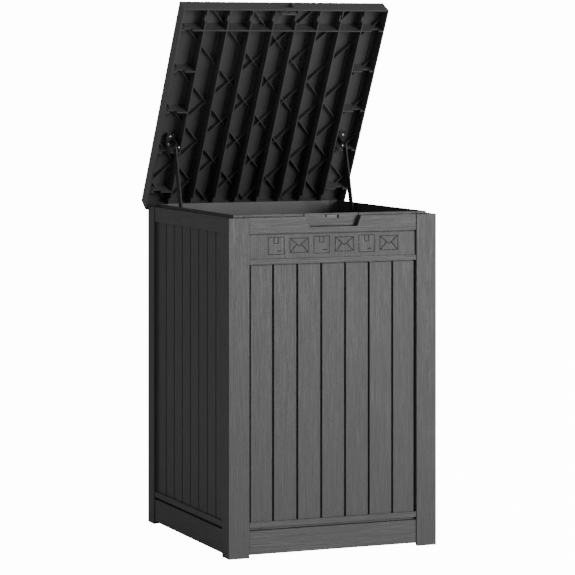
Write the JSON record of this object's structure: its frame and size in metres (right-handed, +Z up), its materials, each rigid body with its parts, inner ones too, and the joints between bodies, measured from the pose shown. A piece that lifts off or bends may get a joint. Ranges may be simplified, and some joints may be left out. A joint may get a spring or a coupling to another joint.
{
  "type": "parcel drop box",
  "caption": "Free-standing dark grey resin delivery box, wood-plank walls, corner posts and a rear-hinged ribbed lid standing open on two slotted stays.",
  "frame": {"origin": "on the floor, at the middle of the box's footprint with its open lid", "axes": "+Z up, +X to the box's right seen from the front, +Y towards its back"},
  "size_m": [0.45, 0.5004, 1.078],
  "materials": {
    "body_resin": "embossed wood grain, satin",
    "lid_resin": "smooth moulded, satin",
    "lock_resin": "smooth moulded, satin",
    "black_nylon": "moulded, satin",
    "zinc_steel": "zinc plated"
  },
  "bodies": {
    "box": {"base_tray": "body_resin", "post_front_left": "body_resin", "post_front_right": "body_resin", "post_back_left": "body_resin", "post_back_right": "body_resin", "front_panel": "body_resin", "back_panel": "body_resin", "left_panel": "body_resin", "right_panel": "body_resin", "lock_keeper": "lock_resin", "hinge_pin_left": "zinc_steel", "hinge_pin_right": "zinc_steel", "stay_track_left": "black_nylon", "stay_track_right": "black_nylon", "track_screw_left_front": "zinc_steel", "track_screw_left_back": "zinc_steel", "track_screw_right_front": "zinc_steel", "track_screw_right_back": "zinc_steel"},
    "lid": {"lid": "lid_resin", "lock_tab": "lock_resin", "tab_screw_left": "zinc_steel", "tab_screw_right": "zinc_steel", "stay_bracket_left": "black_nylon", "stay_bracket_right": "black_nylon", "bracket_screw_left_front": "zinc_steel", "bracket_screw_left_back": "zinc_steel", "bracket_screw_right_front": "zinc_steel", "bracket_screw_right_back": "zinc_steel", "stay_pivot_left": "zinc_steel", "stay_pivot_right": "zinc_steel"},
    "stay_left": {"stay_arm_left": "black_nylon"},
    "stay_right": {"stay_arm_right": "black_nylon"}
  },
  "joints": [
    {"name": "lid_hinge", "type": "hinge", "parent": "box", "child": "lid", "pos_m": [0, 0.21475, 0.652], "axis": [1, 0, 0], "range_deg": [0, 60.4]},
    {"name": "stay_left_pivot", "type": "hinge", "parent": "lid", "child": "stay_left", "pos_m": [-0.19, 0.13615, 0.77976], "axis": [1, 0, 0], "range_deg": [-120.8, 0]},
    {"name": "stay_right_pivot", "type": "hinge", "parent": "lid", "child": "stay_right", "pos_m": [0.19, 0.13615, 0.77976], "axis": [1, 0, 0], "range_deg": [-120.8, 0]}
  ],
  "couplings": [
    {"joint": "stay_left_pivot", "follows": "lid_hinge", "ratio": -2},
    {"joint": "stay_right_pivot", "follows": "lid_hinge", "ratio": -2}
  ]
}
